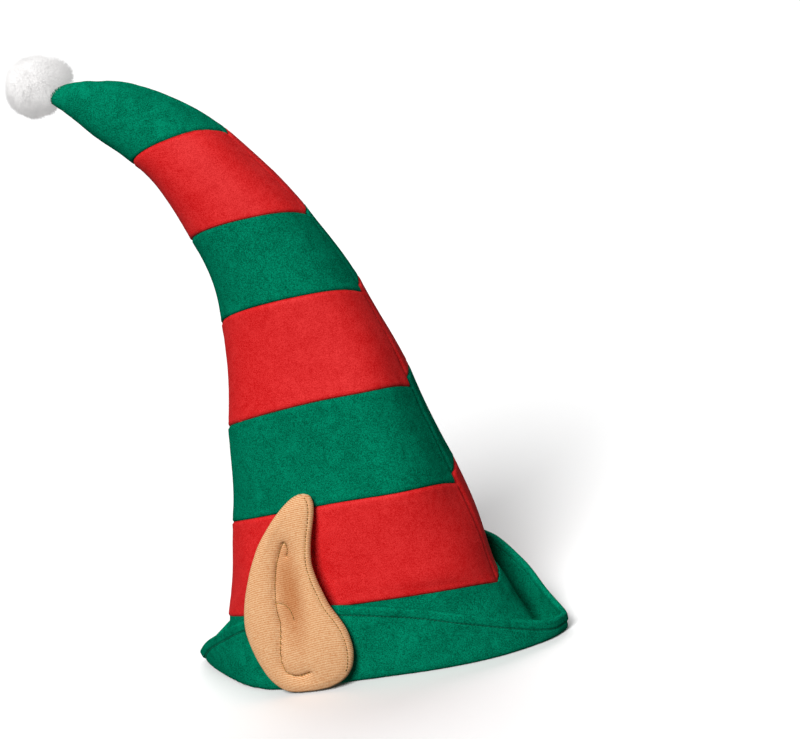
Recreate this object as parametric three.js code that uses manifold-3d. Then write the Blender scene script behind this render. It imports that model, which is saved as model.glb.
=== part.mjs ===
// Elf hat: a tall felt cone that leans over at its peak, pieced from stripes in two panels, with a
// turned-up felt brim, a padded ear on each side and a fur pompom on the tip.
// Millimetres, +Z up. The panels' seams lie at +X and -X, the peak falls towards -X, and the ears
// are at -Y (near) and +Y (far). Each row of a table is a section, and its lengths are shares of
// the named sizes.
import * as THREE from "three";
import { mergeVertices } from "three/addons/utils/BufferGeometryUtils.js";
import Module from "manifold-3d";

// Felt and clearances
const FELT = 2.2;
const PIECE_GAP = 0.3;

// Crown
const HEAD_LENGTH = 220;
const HEAD_WIDTH = 120;
const CROWN_SETBACK = 4.2;
const JOIN_HEIGHT = 39;
const CROWN_HEIGHT = 415;
const PEAK_REACH = 150;
const PEAK_TILT = 60;
const STRIPE_ARCH = 17;
const PANEL_SLIP = 6;
const SEAM_TURN = 5;
const PANEL_STEPS = 14;
const STRIPE_STEPS = 3;
const PEAK_STEPS = 7;

// Brim
const BRIM_LENGTH = 300;
const BRIM_WIDTH = 150;
const FLAP_HEIGHT = 62;
const FOLD_RADIUS = 2;
const HEM_HEIGHT = 9;
const HEM_EXTRA = 1.2;

// Ears
const EAR_LENGTH = 145;
const EAR_WIDTH = 82;
const EAR_THICKNESS = 10;
const EAR_EDGE = 4;
const EAR_CENTRE_X = -30;
const EAR_FOOT_HEIGHT = 1.5;
const EAR_LEAN_IN = 20;
const EAR_TURN_IN = 4;
const EAR_CUP = 3;
const EAR_BOW = 1.7;

// Pompom
const POMPOM_DIAMETER = 52;
const POMPOM_CORE = 42;
const POMPOM_AHEAD = 18;
const POMPOM_LOCKS = 48;
const LOCK_ROOT = 13;
const LOCK_TIP = 8;
const LOCK_LENGTH = 13;
const LOCK_SIDES = 5;
const CORE_SIDES = 16;

// Stripes from the brim to the tip. The slip share is of PANEL_SLIP: how far the far panel's lower
// edge sits above the near panel's.
const STRIPES = [
  { name: "stripe_1_red", colour: "red", slip: 0 },
  { name: "stripe_2_green", colour: "green", slip: 1 },
  { name: "stripe_3_red", colour: "red", slip: 1 },
  { name: "stripe_4_green", colour: "green", slip: 0.6 },
  { name: "stripe_5_red", colour: "red", slip: 0 },
  { name: "stripe_6_green_peak", colour: "green", slip: -0.9 },
];

// Crown sections by stripe number counted from the join: the centre's rise above the join as a
// share of CROWN_HEIGHT, its fall towards -X as a share of PEAK_REACH, the section's tilt as a
// share of PEAK_TILT, its length and width as shares of HEAD_LENGTH and HEAD_WIDTH, and how far
// the +X seam sits round on the near side as a share of SEAM_TURN.
const CROWN_SECTIONS = [
  { stripe: 0, rise: 0, fall: 0, tilt: 0.04, length: 1, width: 1, seam: 0.75 },
  { stripe: 1, rise: 0.192, fall: -0.013, tilt: 0.082, length: 0.83, width: 0.93, seam: 1 },
  { stripe: 2, rise: 0.373, fall: 0.003, tilt: 0.123, length: 0.671, width: 0.83, seam: 0.95 },
  { stripe: 3, rise: 0.562, fall: 0.034, tilt: 0.122, length: 0.512, width: 0.73, seam: 0.2 },
  { stripe: 4, rise: 0.711, fall: 0.153, tilt: 0.12, length: 0.409, width: 0.63, seam: 0 },
  { stripe: 5, rise: 0.869, fall: 0.417, tilt: 0.222, length: 0.342, width: 0.55, seam: 0 },
  { stripe: 5.33, rise: 0.926, fall: 0.585, tilt: 0.363, length: 0.284, width: 0.45, seam: 0 },
  { stripe: 5.61, rise: 0.964, fall: 0.747, tilt: 0.667, length: 0.214, width: 0.365, seam: 0 },
  { stripe: 5.8, rise: 0.984, fall: 0.868, tilt: 0.923, length: 0.162, width: 0.28, seam: 0 },
  { stripe: 5.925, rise: 0.996, fall: 0.949, tilt: 0.973, length: 0.117, width: 0.21, seam: 0 },
  { stripe: 6, rise: 1, fall: 1, tilt: 1, length: 0.078, width: 0.145, seam: 0 },
];

// Brim sections from the open end (turn 0) to the pointed end (turn 180): the fold's place as
// shares of half the brim's length and width, where the crown's foot meets the floor as a share of
// the way to the fold, the near and far flaps' heights as shares of FLAP_HEIGHT, and how far a
// flap leans out as a share of its own height.
const BRIM_SECTIONS = [
  { turn: 0, foldX: 1, foldY: 0, foot: 0.52, near: 0.24, far: 0.24, lean: 0 },
  { turn: 12, foldX: 0.96, foldY: 0.18, foot: 0.5, near: 0.25, far: 0.22, lean: 0 },
  { turn: 28, foldX: 0.875, foldY: 0.35, foot: 0.5, near: 0.34, far: 0.38, lean: 0 },
  { turn: 42, foldX: 0.75, foldY: 0.53, foot: 0.45, near: 0.49, far: 0.73, lean: 0 },
  { turn: 52, foldX: 0.6, foldY: 0.67, foot: 0.45, near: 0.64, far: 1.01, lean: 0 },
  { turn: 63, foldX: 0.4, foldY: 0.79, foot: 0.4, near: 0.79, far: 1.12, lean: -0.02 },
  { turn: 75, foldX: 0.173, foldY: 0.88, foot: 0.4, near: 0.91, far: 1.08, lean: -0.03 },
  { turn: 90, foldX: -0.02, foldY: 0.935, foot: 0.4, near: 0.98, far: 1, lean: -0.05 },
  { turn: 105, foldX: -0.23, foldY: 0.975, foot: 0.4, near: 1, far: 1, lean: -0.08 },
  { turn: 118, foldX: -0.405, foldY: 1, foot: 0.4, near: 0.95, far: 0.93, lean: -0.1 },
  { turn: 131, foldX: -0.565, foldY: 0.87, foot: 0.4, near: 0.83, far: 0.8, lean: -0.08 },
  { turn: 145, foldX: -0.7, foldY: 0.65, foot: 0.4, near: 0.6, far: 0.55, lean: -0.04 },
  { turn: 160, foldX: -0.83, foldY: 0.39, foot: 0.4, near: 0.36, far: 0.3, lean: 0.05 },
  { turn: 172, foldX: -0.925, foldY: 0.16, foot: 0.4, near: 0.17, far: 0.16, lean: 0.5 },
  { turn: 180, foldX: -0.965, foldY: 0, foot: 0.4, near: 0.12, far: 0.12, lean: 1 },
];

// One section of the brim, from the join to the hem: how far out and how far down it has come as
// shares of the way to the crown's foot.
const FLARE = [
  { out: 0, down: 0 },
  { out: 0.3, down: 0.3 },
  { out: 0.62, down: 0.68 },
];

// Ear sections from the lobe up: height share of EAR_LENGTH, the rear and front edges and the
// quilted line as shares of EAR_WIDTH from the ear's centre, and how deep that line pulls in.
const EAR_SECTIONS = [
  { up: 0, rear: -0.08, front: 0, line: 0, dip: 0 },
  { up: 0.02, rear: -0.16, front: 0.23, line: -0.1, dip: 0.05 },
  { up: 0.055, rear: -0.25, front: 0.36, line: -0.12, dip: 0.25 },
  { up: 0.11, rear: -0.34, front: 0.45, line: -0.15, dip: 0.5 },
  { up: 0.18, rear: -0.41, front: 0.493, line: -0.195, dip: 0.6 },
  { up: 0.26, rear: -0.46, front: 0.49, line: -0.187, dip: 0.6 },
  { up: 0.35, rear: -0.495, front: 0.435, line: -0.168, dip: 0.6 },
  { up: 0.445, rear: -0.476, front: 0.337, line: -0.173, dip: 0.6 },
  { up: 0.54, rear: -0.43, front: 0.285, line: -0.16, dip: 0.6 },
  { up: 0.64, rear: -0.355, front: 0.25, line: -0.118, dip: 0.5 },
  { up: 0.745, rear: -0.256, front: 0.268, line: -0.05, dip: 0.2 },
  { up: 0.82, rear: -0.165, front: 0.298, line: 0.03, dip: 0 },
  { up: 0.895, rear: -0.037, front: 0.334, line: 0.1, dip: 0 },
  { up: 0.957, rear: 0.085, front: 0.362, line: 0.2, dip: 0 },
  { up: 1, rear: 0.23, front: 0.31, line: 0.27, dip: 0 },
];

// Across an ear from its rear edge (0) to its front edge (1): the share of its full padding.
const EAR_PADDING = [
  { across: 0, full: 0 },
  { across: 0.06, full: 0.62 },
  { across: 0.16, full: 0.88 },
  { across: 0.3, full: 0.98 },
  { across: 0.45, full: 1 },
  { across: 0.6, full: 1 },
  { across: 0.76, full: 0.97 },
  { across: 0.92, full: 0.7 },
  { across: 1, full: 0 },
];

// Width of the quilted line's dip as a share of EAR_WIDTH, and the share of the padding behind.
const DIP_WIDTH = 0.09;
const BACK_PADDING = 0.3;

const material = (name, color, roughness) =>
  new THREE.MeshStandardMaterial({ name, color, roughness, metalness: 0 });
const FINISHES = {
  red: material("red_felt", 0xc4161c, 0.95),
  green: material("green_felt", 0x006a4e, 0.95),
  ear: material("ear_knit", 0xd9995f, 0.9),
  fur: material("white_fur", 0xf1efee, 1),
};

// Smooth value of one column of a table at a place along its key column, kept level past the ends.
function read(table, key, place, column) {
  const last = table.length - 1;
  if (place <= table[0][key]) return table[0][column];
  if (place >= table[last][key]) return table[last][column];
  const i = table.findIndex((row) => row[key] > place) - 1;
  const slope = (k) => {
    const a = table[Math.max(k - 1, 0)];
    const b = table[Math.min(k + 1, last)];
    return (b[column] - a[column]) / (b[key] - a[key]);
  };
  const span = table[i + 1][key] - table[i][key];
  const t = (place - table[i][key]) / span;
  const start = table[i][column];
  const end = table[i + 1][column];
  const bend = t * (1 - t);
  return start + (end - start) * t * t * (3 - 2 * t)
    + span * bend * (slope(i) * (1 - t) - slope(i + 1) * t);
}

// A geometry of these points and faces, turned so that its faces point out.
function facingOut(points, faces) {
  let volume = 0;
  for (let k = 0; k < faces.length; k += 3) {
    const [a, b, c] = [points[faces[k]], points[faces[k + 1]], points[faces[k + 2]]];
    volume += a.dot(new THREE.Vector3().crossVectors(b, c));
  }
  if (volume < 0) faces.reverse();
  const geometry = new THREE.BufferGeometry().setFromPoints(points);
  geometry.setIndex(faces);
  return geometry;
}

// The closed skin between two grids of points: their faces, and the strips that join their rims.
function shell(outer, inner, around) {
  const rows = outer.length;
  const columns = outer[0].length;
  const points = [...outer.flat(), ...inner.flat()];
  const faces = [];
  const outside = (i, j) => i * columns + (j % columns);
  const inside = (i, j) => rows * columns + outside(i, j);
  const quad = (a, b, c, d) => faces.push(a, b, c, a, c, d);
  const steps = around ? columns : columns - 1;
  for (let j = 0; j < steps; j++) {
    for (let i = 0; i < rows - 1; i++) {
      quad(outside(i, j), outside(i, j + 1), outside(i + 1, j + 1), outside(i + 1, j));
      quad(inside(i, j), inside(i + 1, j), inside(i + 1, j + 1), inside(i, j + 1));
    }
    quad(inside(0, j), inside(0, j + 1), outside(0, j + 1), outside(0, j));
    quad(outside(rows - 1, j), outside(rows - 1, j + 1), inside(rows - 1, j + 1), inside(rows - 1, j));
  }
  if (!around) {
    for (let i = 0; i < rows - 1; i++) {
      quad(outside(i, 0), outside(i + 1, 0), inside(i + 1, 0), inside(i, 0));
      quad(inside(i, steps), inside(i + 1, steps), outside(i + 1, steps), outside(i, steps));
    }
  }
  return facingOut(points, faces);
}

// The crown's middle line at a stripe number: its place and the tilt of the section there.
function crownLine(stripe) {
  const at = (column) => read(CROWN_SECTIONS, "stripe", stripe, column);
  return {
    x: -CROWN_SETBACK - PEAK_REACH * at("fall"),
    z: JOIN_HEIGHT + CROWN_HEIGHT * at("rise"),
    tilt: THREE.MathUtils.degToRad(PEAK_TILT * at("tilt")),
  };
}

function stripeHeight(index) {
  const low = crownLine(index);
  const high = crownLine(index + 1);
  return Math.hypot(high.x - low.x, high.z - low.z);
}

// A turn on one panel, from the +X seam (0) to the -X seam (180), as an angle round the section.
// Side -1 is the near panel and +1 the far one.
function roundAngle(stripe, turn, side) {
  const seam = SEAM_TURN * read(CROWN_SECTIONS, "stripe", stripe, "seam");
  return side * turn - seam * (1 - turn / 180);
}

// A point of the crown. Depth is how far inside the outer face it lies, and gap is the clearance
// between the two panels.
function crownPoint(stripe, turn, side, depth, gap = PIECE_GAP) {
  const line = crownLine(stripe);
  const half = (size, column) =>
    Math.max((size / 2) * read(CROWN_SECTIONS, "stripe", stripe, column) - depth, PIECE_GAP);
  const angle = THREE.MathUtils.degToRad(roundAngle(stripe, turn, side));
  const across = half(HEAD_LENGTH, "length") * Math.cos(angle);
  return new THREE.Vector3(
    line.x + across * Math.cos(line.tilt),
    half(HEAD_WIDTH, "width") * Math.sin(angle) + (side * gap) / 2,
    line.z + across * Math.sin(line.tilt),
  );
}

// Stripe edges are cut straight on the flat panel, so that on the cone they rise mid-panel. This
// gives the stripe number of an edge at a turn.
function edgeStripe(edge, turn, side) {
  const fromMiddle = (turn - 90) / 90;
  const arch = STRIPE_ARCH * (1 - fromMiddle * fromMiddle);
  const slip = side > 0 ? PANEL_SLIP * STRIPES[edge].slip : 0;
  return edge + (arch + slip) / stripeHeight(edge);
}

function stripePanel(index, side) {
  const last = index === STRIPES.length - 1;
  const steps = last ? PEAK_STEPS : STRIPE_STEPS;
  const gapShare = PIECE_GAP / 2 / stripeHeight(index);
  const rows = (depth) => {
    const grid = [];
    for (let i = 0; i <= steps; i++) {
      const row = [];
      for (let j = 0; j <= PANEL_STEPS; j++) {
        const turn = (180 * j) / PANEL_STEPS;
        const low = edgeStripe(index, turn, side) + gapShare;
        const high = last ? STRIPES.length : edgeStripe(index + 1, turn, side) - gapShare;
        const closed = last && i === steps && depth > 0;
        row.push(crownPoint(THREE.MathUtils.lerp(low, high, i / steps), turn, side,
          closed ? HEAD_LENGTH : depth));
      }
      grid.push(row);
    }
    return grid;
  };
  return shell(rows(0), rows(FELT), false);
}

// One section of the brim as a line of felt, with the felt's thickness at each point: it runs down
// the crown's foot, along the floor and up the flap to the doubled hem.
function brimProfile(row, flap, reach, joinHeight) {
  const half = FELT / 2;
  const foldTop = FOLD_RADIUS + half;
  const foot = Math.min(row.foot * reach, reach - FELT - 2 * FOLD_RADIUS);
  const hem = Math.min(HEM_HEIGHT, (flap - foldTop) / 2);
  const hemStep = Math.min(HEM_EXTRA, hem / 2);
  const flapAt = (up) => ({ out: reach + row.lean * (up - foldTop), up, wall: FELT });
  const hemAt = (up) => ({ ...flapAt(up), wall: FELT + HEM_EXTRA });
  return [
    ...FLARE.map(({ out, down }) => ({
      out: foot * out, up: THREE.MathUtils.lerp(joinHeight, foldTop, down), wall: FELT })),
    { out: foot, up: half, wall: FELT },
    { out: reach - FOLD_RADIUS, up: half, wall: FELT },
    flapAt(foldTop),
    flapAt((foldTop + flap - hem) / 2),
    flapAt(flap - hem),
    hemAt(flap - hem + hemStep),
    hemAt(flap),
  ];
}

// Both faces of a line of felt, each corner mitred so that level stretches stay level.
function thicken(line, face) {
  const normal = (k) => {
    const [a, b] = [line[k], line[k + 1]];
    const length = Math.hypot(b.out - a.out, b.up - a.up);
    return { out: (b.up - a.up) / length, up: -(b.out - a.out) / length };
  };
  return line.map((point, k) => {
    const before = normal(Math.max(k - 1, 0));
    const after = normal(Math.min(k, line.length - 2));
    const shrink = 1 + before.out * after.out + before.up * after.up;
    const offset = (face * point.wall) / 2 / shrink;
    return {
      out: point.out + (before.out + after.out) * offset,
      up: point.up + (before.up + after.up) * offset,
    };
  });
}

// The brim's felt at one turn: the face that starts inside the crown and runs under the fold to the
// flap's outside, and the face that starts on the crown's outside.
function brimColumn(turn, side) {
  const edge = edgeStripe(0, turn, side) - PIECE_GAP / 2 / stripeHeight(0);
  const angle = roundAngle(edge, turn, side);
  const row = {};
  for (const key of Object.keys(BRIM_SECTIONS[0])) {
    row[key] = read(BRIM_SECTIONS, "turn", Math.abs(angle), key);
  }
  const join = crownPoint(edge, turn, side, FELT / 2, 0);
  const fold = new THREE.Vector3(
    (BRIM_LENGTH / 2) * row.foldX,
    Math.sign(angle) * (BRIM_WIDTH / 2) * row.foldY,
    join.z,
  );
  const out = fold.clone().sub(join);
  const reach = out.length() - FELT / 2;
  out.normalize();
  const flap = FLAP_HEIGHT * (angle > 0 ? row.far : row.near);
  const line = brimProfile(row, flap, reach, join.z);
  const place = (point) =>
    new THREE.Vector3(join.x + out.x * point.out, join.y + out.y * point.out, point.up);
  const under = thicken(line, 1).map(place);
  const over = thicken(line, -1).map(place);
  under[0] = crownPoint(edge, turn, side, FELT, 0);
  over[0] = crownPoint(edge, turn, side, 0, 0);
  return { under, over };
}

function brim() {
  const columns = [];
  const steps = 2 * PANEL_STEPS;
  for (let j = 0; j < steps; j++) columns.push(brimColumn((180 * j) / steps, 1));
  for (let j = steps; j > 0; j--) columns.push(brimColumn((180 * j) / steps, -1));
  const rows = (face) => columns[0][face].map((_, i) => columns.map((column) => column[face][i]));
  return shell(rows("under"), rows("over"), true);
}

// One padded ear, standing free of the hat. It thins to a rolled seam edge all round.
function ear(side) {
  const grids = { front: [], back: [] };
  const turnIn = Math.tan(THREE.MathUtils.degToRad(EAR_TURN_IN));
  for (const row of EAR_SECTIONS) {
    const end = row.up === 0 || row.up === 1 ? EAR_EDGE / EAR_THICKNESS : 1;
    const rows = { front: [], back: [] };
    for (const { across, full } of EAR_PADDING) {
      const share = THREE.MathUtils.lerp(row.rear, row.front, across);
      const x = share * EAR_WIDTH;
      const fromLine = (share - row.line) / DIP_WIDTH;
      const dip = 1 - row.dip * Math.exp(-fromLine * fromLine);
      const middle = -EAR_LEAN_IN * row.up ** EAR_BOW - EAR_CUP * (2 * share) ** 2 - turnIn * x;
      const edge = across === 0 || across === 1 ? 0 : (EAR_EDGE / 2) * end;
      const rise = (EAR_THICKNESS - EAR_EDGE) * full * end;
      const z = EAR_FOOT_HEIGHT + row.up * EAR_LENGTH;
      const point = (y) => new THREE.Vector3(EAR_CENTRE_X + x, side * y, z);
      rows.front.push(point(middle + edge + rise * (1 - BACK_PADDING) * dip));
      rows.back.push(point(middle - edge - rise * BACK_PADDING));
    }
    grids.front.push(rows.front);
    grids.back.push(rows.back);
  }
  return mergeVertices(shell(grids.front, grids.back, false), PIECE_GAP / 10);
}

// How far one mesh can move along a direction before its corners or the others' corners touch.
function freeTravel(mover, others, direction) {
  const caster = new THREE.Raycaster();
  let travel = Infinity;
  const probe = (from, onto, way) => {
    const corners = from.geometry.attributes.position;
    for (let k = 0; k < corners.count; k++) {
      caster.set(new THREE.Vector3().fromBufferAttribute(corners, k), way);
      const [hit] = caster.intersectObjects(onto);
      if (hit) travel = Math.min(travel, hit.distance);
    }
  };
  probe(mover, others, direction);
  for (const other of others) probe(other, [mover], direction.clone().negate());
  return travel;
}

const wasm = await Module();
wasm.setup();

function solidOf(geometry) {
  const bare = geometry.clone().deleteAttribute("normal").deleteAttribute("uv");
  const merged = mergeVertices(bare, PIECE_GAP / 100);
  return new wasm.Manifold(new wasm.Mesh({
    numProp: 3,
    vertProperties: merged.attributes.position.array,
    triVerts: new Uint32Array(merged.index.array),
  }));
}

function geometryOf(solid) {
  const mesh = solid.getMesh();
  const geometry = new THREE.BufferGeometry();
  geometry.setAttribute("position", new THREE.BufferAttribute(mesh.vertProperties, 3));
  geometry.setIndex(new THREE.BufferAttribute(mesh.triVerts, 1));
  return geometry;
}

// The solid form of the peak's end, half a stripe long with clearance round it.
function tipForm() {
  const ring = (stripe, shift) => {
    const points = [];
    for (let j = 0; j <= PANEL_STEPS; j++) {
      points.push(crownPoint(stripe, (180 * j) / PANEL_STEPS, 1, -PIECE_GAP).add(shift));
    }
    for (let j = PANEL_STEPS; j >= 0; j--) {
      points.push(crownPoint(stripe, (180 * j) / PANEL_STEPS, -1, -PIECE_GAP).add(shift));
    }
    return points;
  };
  const end = STRIPES.length;
  const { tilt } = crownLine(end);
  const ahead = new THREE.Vector3(-Math.sin(tilt), 0, Math.cos(tilt));
  const rings = [];
  for (let i = 0; i < PEAK_STEPS; i++) {
    rings.push(ring(end - (1 - i / PEAK_STEPS) / 2, new THREE.Vector3()));
  }
  rings.push(ring(end, ahead.clone().multiplyScalar(PIECE_GAP)));
  const count = rings[0].length;
  const points = rings.flat();
  const faces = [];
  for (let i = 0; i < rings.length - 1; i++) {
    for (let j = 0; j < count; j++) {
      const [a, b] = [i * count + j, i * count + ((j + 1) % count)];
      faces.push(a, b, b + count, a, b + count, a + count);
    }
  }
  const top = (rings.length - 1) * count;
  for (let j = 1; j < count - 1; j++) {
    faces.push(0, j + 1, j);
    faces.push(top, top + j, top + j + 1);
  }
  return solidOf(facingOut(points, faces));
}

// The pompom: blunt locks of fur fused to a round core, hollowed where the felt tip goes in.
function pompom() {
  const tip = crownLine(STRIPES.length);
  let solid = solidOf(new THREE.SphereGeometry(POMPOM_CORE / 2, CORE_SIDES, CORE_SIDES / 2));
  const goldenTurn = Math.PI * (3 - Math.sqrt(5));
  for (let k = 0; k < POMPOM_LOCKS; k++) {
    const rise = 1 - (2 * k + 1) / POMPOM_LOCKS;
    const flat = Math.sqrt(1 - rise * rise);
    const direction = new THREE.Vector3(
      flat * Math.cos(goldenTurn * k), flat * Math.sin(goldenTurn * k), rise);
    const lock = new THREE.CylinderGeometry(LOCK_TIP / 2, LOCK_ROOT / 2, LOCK_LENGTH, LOCK_SIDES);
    lock.translate(0, (POMPOM_DIAMETER - LOCK_LENGTH) / 2, 0);
    lock.applyQuaternion(new THREE.Quaternion().setFromUnitVectors(
      new THREE.Vector3(0, 1, 0), direction));
    solid = solid.add(solidOf(lock));
  }
  const centre = [
    tip.x - Math.sin(tip.tilt) * POMPOM_AHEAD, 0, tip.z + Math.cos(tip.tilt) * POMPOM_AHEAD];
  return geometryOf(solid.translate(centre).subtract(tipForm()));
}

const hat = new THREE.Group();
function add(name, geometry, finish) {
  geometry.computeVertexNormals();
  const mesh = new THREE.Mesh(geometry, finish);
  mesh.name = name;
  hat.add(mesh);
  return mesh;
}

const felt = [add("brim", brim(), FINISHES.green)];
for (const [panel, side] of [["near", -1], ["far", 1]]) {
  STRIPES.forEach((stripe, index) => {
    felt.push(add(`${stripe.name}_${panel}`, stripePanel(index, side), FINISHES[stripe.colour]));
  });
}
add("pompom", pompom(), FINISHES.fur);

// Each ear is brought in from the side until it rests against the flap or the crown.
for (const [panel, side] of [["near", -1], ["far", 1]]) {
  const geometry = ear(side).translate(0, side * BRIM_LENGTH, 0);
  const mesh = add(`ear_${panel}`, geometry, FINISHES.ear);
  const inwards = new THREE.Vector3(0, -side, 0);
  geometry.translate(0, -side * (freeTravel(mesh, felt, inwards) - PIECE_GAP), 0);
}

// The origin is the middle of the whole hat's box, on the floor.
const box = new THREE.Box3().setFromObject(hat);
const middle = box.getCenter(new THREE.Vector3());
hat.position.set(-middle.x, -middle.y, -box.min.z);
hat.updateMatrixWorld(true);

export default hat;
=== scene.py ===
import math
import bpy
import numpy as np
from mathutils import Matrix, Vector


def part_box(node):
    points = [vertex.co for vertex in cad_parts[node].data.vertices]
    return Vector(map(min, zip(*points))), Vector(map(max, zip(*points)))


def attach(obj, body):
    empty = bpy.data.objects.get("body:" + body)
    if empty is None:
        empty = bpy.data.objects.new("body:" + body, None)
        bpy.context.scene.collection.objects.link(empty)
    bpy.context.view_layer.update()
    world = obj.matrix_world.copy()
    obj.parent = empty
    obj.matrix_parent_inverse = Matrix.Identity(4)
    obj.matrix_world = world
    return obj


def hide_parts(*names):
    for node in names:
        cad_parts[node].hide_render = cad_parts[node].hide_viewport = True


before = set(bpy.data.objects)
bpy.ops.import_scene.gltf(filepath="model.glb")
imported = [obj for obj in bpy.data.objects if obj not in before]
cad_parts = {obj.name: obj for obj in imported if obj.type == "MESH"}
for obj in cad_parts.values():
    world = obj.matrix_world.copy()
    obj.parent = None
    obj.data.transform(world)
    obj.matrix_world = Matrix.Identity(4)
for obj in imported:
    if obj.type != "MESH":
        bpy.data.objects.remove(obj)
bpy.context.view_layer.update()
MM = 0.001

# Crown stripes
# Twelve bands of thin felt, six to a side, are sewn edge to edge into a near and a far panel. The
# panels are then sewn together up the front and back, and each seam draws the felt into a valley.
FELT = 2.2 * MM
HEAD_LENGTH = 220 * MM
HEAD_WIDTH = 120 * MM
CROWN_SETBACK = 4.2 * MM
JOIN_HEIGHT = 39 * MM
CROWN_HEIGHT = 415 * MM
PEAK_REACH = 150 * MM
PEAK_TILT = math.radians(60)
STRIPE_ARCH = 17 * MM
PANEL_SLIP = 6 * MM
SEAM_TURN = math.radians(5)
SEAM_GAP = 0.01 * MM
SEAM_SINK = 1.4 * MM
SEAM_SINK_WIDTH = 0.85 * MM
FAR_SINK_WIDTH = 3.2 * MM
SEAM_SWELL = 0.3 * MM
SEAM_SWELL_WIDTH = 8 * MM
STRIPE_SEAM_SHARE = 0.85
PUCKER = 0.25 * MM
PUCKER_LENGTH = 9 * MM
PUCKER_REACH = 9 * MM
CROWN_SAG = 0.9 * MM
CROWN_SAG_LENGTH = 80 * MM
RIDGE_RISE = 7.5 * MM
RIDGE_TURN = math.radians(42)
RIDGE_SPREAD = math.radians(22)
BACK_RIDGE = 0.35
FAR_RIDGE = 0.4
FAR_RIDGE_END = 3
SECTION_EASE = 0.22
PANEL_COLUMNS = 150
SEAM_CROWDING = 0.35
ROW_STEP = 1.7 * MM
RIPPLE_WAVES = 6
FOLD_ANGLE = math.radians(60)
BRIM_END = 149.3 * MM
CROWN_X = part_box("brim")[1].x - BRIM_END
STRIPES = [
    dict(name="stripe_1_red", colour="red", slip=0.0),
    dict(name="stripe_2_green", colour="green", slip=1.0),
    dict(name="stripe_3_red", colour="red", slip=1.0),
    dict(name="stripe_4_green", colour="green", slip=0.6),
    dict(name="stripe_5_red", colour="red", slip=0.0),
    dict(name="stripe_6_green_peak", colour="green", slip=-0.9),
]
# Each row is a section: its stripe number from the join, its rise and fall as shares of the crown's
# height and the peak's reach, its tilt, length, width, seam turn and ridges as shares of the sizes
# above.
CROWN_SECTIONS = [
    dict(stripe=0, rise=0, fall=0, tilt=0.04, length=1, width=1, seam=0.75, ridge=0.2),
    dict(stripe=1, rise=0.188, fall=-0.015, tilt=0.082, length=0.83, width=0.93, seam=1, ridge=1.1),
    dict(stripe=2, rise=0.369, fall=0.0, tilt=0.123, length=0.671, width=0.83, seam=0.95, ridge=1.05),
    dict(stripe=3, rise=0.556, fall=0.03, tilt=0.122, length=0.512, width=0.73, seam=0.2, ridge=0.25),
    dict(stripe=4, rise=0.709, fall=0.149, tilt=0.12, length=0.402, width=0.63, seam=0, ridge=0.3),
    dict(stripe=5, rise=0.868, fall=0.4, tilt=0.222, length=0.316, width=0.55, seam=0, ridge=0.25),
    dict(stripe=5.33, rise=0.926, fall=0.585, tilt=0.363, length=0.284, width=0.45, seam=0, ridge=0.25),
    dict(stripe=5.61, rise=0.964, fall=0.747, tilt=0.667, length=0.214, width=0.365, seam=0, ridge=0.12),
    dict(stripe=5.8, rise=0.984, fall=0.868, tilt=0.923, length=0.156, width=0.27, seam=0, ridge=0.05),
    dict(stripe=5.925, rise=0.995, fall=0.972, tilt=0.973, length=0.095, width=0.165, seam=0, ridge=0),
    dict(stripe=6, rise=1.0, fall=1.05, tilt=1, length=0.045, width=0.085, seam=0, ridge=0),
]


def read(table, key, place, column):
    """Smooth values of one column of a table at places along its key column."""
    along = np.array([row[key] for row in table], float)
    value = np.array([row[column] for row in table], float)
    rank = np.arange(len(table))
    before = np.maximum(rank - 1, 0)
    after = np.minimum(rank + 1, len(table) - 1)
    slope = (value[after] - value[before]) / (along[after] - along[before])
    place = np.clip(place, along[0], along[-1])
    i = np.clip(np.searchsorted(along, place, side="right") - 1, 0, len(table) - 2)
    span = along[i + 1] - along[i]
    t = (place - along[i]) / span
    level = value[i] + (value[i + 1] - value[i]) * t * t * (3 - 2 * t)
    return level + span * t * (1 - t) * (slope[i] * (1 - t) - slope[i + 1] * t)


def crown_share(stripe, column):
    """One column of the crown's sections at stripe numbers, with its bends eased."""
    ease = np.clip(np.minimum(stripe, len(STRIPES) - stripe), 0, SECTION_EASE)
    places = [stripe + ease * step for step in (-1, -0.5, 0, 0.5, 1)]
    return sum(read(CROWN_SECTIONS, "stripe", place, column) for place in places) / len(places)


def crown_line(stripe):
    """The crown's middle line at stripe numbers: its place and the section's tilt."""
    x = CROWN_X - CROWN_SETBACK - PEAK_REACH * crown_share(stripe, "fall")
    z = JOIN_HEIGHT + CROWN_HEIGHT * crown_share(stripe, "rise")
    return x, z, PEAK_TILT * crown_share(stripe, "tilt")


def stripe_height(index):
    """The height of a stripe along the crown's middle line."""
    low_x, low_z, _ = crown_line(index)
    high_x, high_z, _ = crown_line(index + 1)
    return math.hypot(high_x - low_x, high_z - low_z)


def round_angle(stripe, turn, side):
    """The angle round a section of a turn on one panel, from the front seam to the back one."""
    seam = SEAM_TURN * crown_share(stripe, "seam")
    return side * turn - seam * (1 - turn / math.pi)


def crown_point(stripe, turn, side, depth=0.0):
    """Points this deep in the crown's felt. Side is -1 on the near panel and 1 on the far one."""
    x, z, tilt = crown_line(stripe)
    angle = round_angle(stripe, turn, side)
    length = HEAD_LENGTH / 2 * crown_share(stripe, "length") - depth
    width = HEAD_WIDTH / 2 * crown_share(stripe, "width") - depth
    across = length * np.cos(angle)
    y = width * np.sin(angle) + side * SEAM_GAP / 2
    return np.stack([x + across * np.cos(tilt), y, z + across * np.sin(tilt)], axis=-1)


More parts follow.
